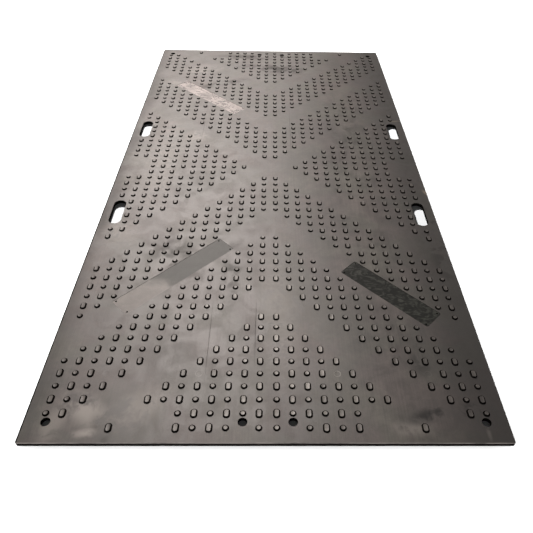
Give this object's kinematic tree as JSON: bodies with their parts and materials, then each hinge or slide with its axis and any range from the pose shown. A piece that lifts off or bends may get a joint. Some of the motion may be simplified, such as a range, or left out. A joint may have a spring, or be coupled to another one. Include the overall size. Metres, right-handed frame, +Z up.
{
  "type": "ground protection mat",
  "caption": "Flat rectangular ground protection mat with a studded tread, corner and end fixing holes and four hand slots.",
  "frame": {"origin": "centre of the underside, on the ground", "axes": "+X across the mat's width, +Y along its length, +Z up through the studded face"},
  "size_m": [1.22, 2.44, 0.0167],
  "materials": {
    "polyethylene": "satin, weathered"
  },
  "bodies": {
    "root": {"mat": "polyethylene"}
  },
  "joints": []
}
